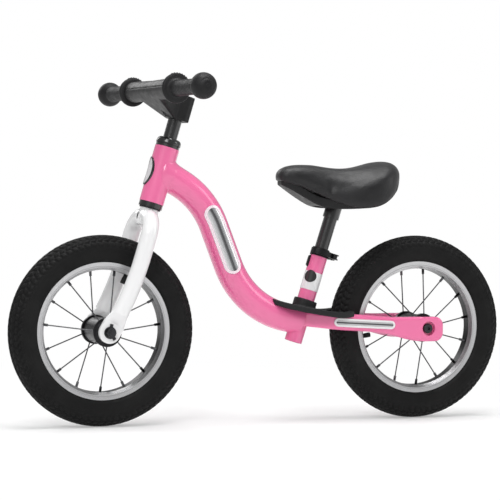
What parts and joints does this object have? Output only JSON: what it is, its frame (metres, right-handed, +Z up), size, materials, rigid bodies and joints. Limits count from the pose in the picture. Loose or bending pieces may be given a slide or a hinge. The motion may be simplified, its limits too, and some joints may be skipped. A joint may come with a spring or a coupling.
{
  "type": "balance bike",
  "caption": "Child's balance bike with air tyres on spoked wheels, a bent tubular frame with a footrest, a straight-bladed fork, a quill stem with ball-end grips and a height-adjustable saddle.",
  "frame": {"origin": "on the ground under the middle of the bike, midway between the two axles", "axes": "+X forward, +Y to the rider's left, +Z up; the front wheel straight ahead"},
  "size_m": [0.84, 0.496, 0.5513],
  "materials": {
    "frame_paint": "glossy pink paint",
    "fork_paint": "glossy white paint",
    "pale_trim": "gloss",
    "reflector": "mirror-like film",
    "badge_black": "gloss",
    "badge_face": "gloss",
    "black_plastic": "fine grain",
    "black_paint": "glossy black",
    "black_alloy": "black anodised",
    "dark_steel": "dark plated",
    "steel": "satin",
    "cushion": "soft black leatherette",
    "grip_rubber": "matt",
    "tyre": "matt",
    "tube_rubber": "matt",
    "rim_alloy": "machined"
  },
  "bodies": {
    "frame": {"head_tube": "frame_paint", "main_tube": "frame_paint", "seat_tube": "frame_paint", "chainstay_left": "frame_paint", "chainstay_right": "frame_paint", "tube_bezels": "pale_trim", "tube_inlays": "reflector", "stay_bezels": "pale_trim", "stay_inlays": "reflector", "head_badge_rim": "badge_black", "head_badge_face": "badge_face", "seat_tube_band": "pale_trim", "seat_tube_roundel": "badge_black", "footrest": "black_plastic", "footrest_screws": "dark_steel", "headset_cups": "black_paint", "headset_bearings": "steel", "rear_axle": "dark_steel", "rear_axle_nut": "dark_steel", "seat_shim": "black_plastic", "seat_clamp": "black_alloy", "clamp_skewer": "dark_steel", "clamp_nut": "dark_steel", "clamp_washer": "black_plastic"},
    "lever": {"clamp_lever": "black_alloy", "clamp_pin": "dark_steel"},
    "seat": {"seat_post": "black_paint", "saddle_bolts": "dark_steel", "saddle_base": "black_plastic", "saddle_pad": "cushion"},
    "fork": {"fork_steerer": "fork_paint", "fork_blade_left": "fork_paint", "fork_blade_right": "fork_paint", "crown_race": "steel", "headset_dome": "black_paint", "front_axle": "dark_steel", "front_axle_nuts": "dark_steel", "safety_washers": "dark_steel"},
    "handlebar": {"quill_tube": "black_paint", "stem_body": "black_plastic", "stem_cap": "black_plastic", "stem_set_screw": "dark_steel", "expander_bolt": "dark_steel", "expander_wedge": "dark_steel", "stem_plug": "grip_rubber", "handlebar_tube": "black_paint", "grip_left": "grip_rubber", "grip_right": "grip_rubber"},
    "front_wheel": {"front_tyre": "tyre", "front_inner_tube": "tube_rubber", "front_rim": "rim_alloy", "front_spokes": "dark_steel", "front_hub": "black_paint", "front_bearings": "steel"},
    "rear_wheel": {"rear_tyre": "tyre", "rear_inner_tube": "tube_rubber", "rear_rim": "rim_alloy", "rear_spokes": "dark_steel", "rear_hub": "black_paint", "rear_bearings": "steel"}
  },
  "joints": [
    {"name": "steering", "type": "hinge", "parent": "frame", "child": "fork", "pos_m": [0.17705, 0, 0.39371], "axis": [-0.279, 0, 0.9603], "continuous": true},
    {"name": "handlebar_height", "type": "slide", "parent": "fork", "child": "handlebar", "axis": [-0.279, 0, 0.9603], "range_m": [-0.02, 0.03]},
    {"name": "front_wheel_spin", "type": "hinge", "parent": "fork", "child": "front_wheel", "pos_m": [0.27, 0, 0.15], "axis": [0, 1, 0], "continuous": true},
    {"name": "rear_wheel_spin", "type": "hinge", "parent": "frame", "child": "rear_wheel", "pos_m": [-0.27, 0, 0.15], "axis": [0, 1, 0], "continuous": true},
    {"name": "seat_height", "type": "slide", "parent": "frame", "child": "seat", "axis": [-0.3007, 0, 0.9537], "range_m": [-0.05, 0.03]},
    {"name": "clamp_lever_turn", "type": "hinge", "parent": "frame", "child": "lever", "pos_m": [-0.12036, 0.014, 0.26507], "axis": [-0.3007, 0, 0.9537], "range_deg": [0, 150]}
  ]
}
